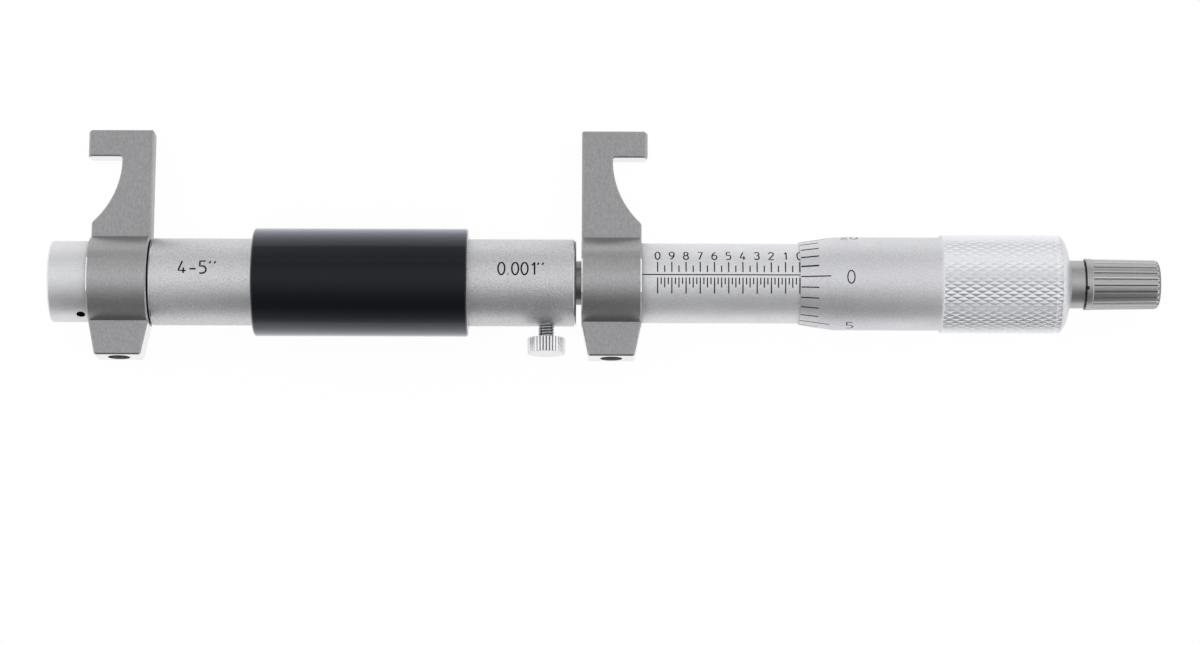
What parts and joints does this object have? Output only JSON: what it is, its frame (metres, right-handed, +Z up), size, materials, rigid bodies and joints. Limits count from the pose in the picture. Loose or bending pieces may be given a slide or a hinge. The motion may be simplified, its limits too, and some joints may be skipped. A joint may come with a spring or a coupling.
{
  "type": "inside micrometer",
  "caption": "Caliper-jaw inside micrometer lying on its black grip: two hooked jaws on a tubular body, side lock screw, graduated sleeve, knurled thimble and fluted ratchet.",
  "frame": {"origin": "centre of the footprint's bounding box, on the table the instrument lies on", "axes": "+X along the spindle from the end cap to the ratchet, +Y across the table toward the measuring hooks, +Z up"},
  "size_m": [0.1996, 0.0413, 0.0196],
  "materials": {
    "satin_chrome": "satin, fine-grained chrome plate",
    "ground_steel": "ground tool steel with a fine grain",
    "black_grip": "glossy black moulded grip",
    "carbide": "ground hard-metal insert",
    "black_screw": "black oxide screw",
    "polished_rod": "polished steel rod",
    "hardened_steel": "turned hardened steel",
    "bronze": "turned bearing bronze",
    "ratchet_steel": "grey nickel-plated steel",
    "spring_steel": "drawn spring wire",
    "bright_chrome": "bright chrome plate"
  },
  "bodies": {
    "frame": {"frame_tube": "satin_chrome", "grip_sleeve": "black_grip", "left_jaw": "ground_steel", "left_jaw_tip": "carbide", "left_jaw_set_screw": "black_screw", "end_cap": "satin_chrome", "thrust_bush": "bronze", "thrust_screw": "hardened_steel", "guide_bush": "bronze", "guide_key_screw": "black_screw"},
    "carriage": {"right_jaw": "ground_steel", "right_jaw_tip": "carbide", "right_jaw_set_screw": "black_screw", "guide_tube": "polished_rod", "inner_sleeve": "hardened_steel", "sleeve": "satin_chrome", "adjusting_nut": "hardened_steel"},
    "thimble_set": {"spindle": "hardened_steel", "thimble": "satin_chrome", "ratchet_base": "ratchet_steel", "ratchet_screw": "ratchet_steel"},
    "ratchet": {"ratchet_knob": "ratchet_steel", "click_ring": "hardened_steel", "ratchet_spring": "spring_steel"},
    "lock_pad": {"lock_pad": "bronze"},
    "lock_screw": {"lock_screw": "bright_chrome"}
  },
  "joints": [
    {"name": "thimble_spin", "type": "hinge", "parent": "frame", "child": "thimble_set", "pos_m": [0, -0.0066, 0.00975], "axis": [-1, 0, 0], "range_deg": [0, 14400]},
    {"name": "jaw_slide", "type": "slide", "parent": "frame", "child": "carriage", "axis": [1, 0, 0], "range_m": [0, 0.0254]},
    {"name": "ratchet_spin", "type": "hinge", "parent": "thimble_set", "child": "ratchet", "pos_m": [0.09, -0.0066, 0.00975], "axis": [-1, 0, 0], "continuous": true},
    {"name": "lock_press", "type": "slide", "parent": "frame", "child": "lock_pad", "axis": [0, 0.9586, -0.2848], "range_m": [-0.0005, 0.000285]},
    {"name": "lock_turn", "type": "hinge", "parent": "lock_pad", "child": "lock_screw", "pos_m": [-0.0106, -0.01811, 0.01317], "axis": [0, 0.9586, -0.2848], "range_deg": [-360, 205.2]}
  ],
  "couplings": [
    {"joint": "thimble_spin", "follows": "jaw_slide", "rad_per_m": 9894.7},
    {"joint": "lock_turn", "follows": "lock_press", "rad_per_m": 12566}
  ]
}
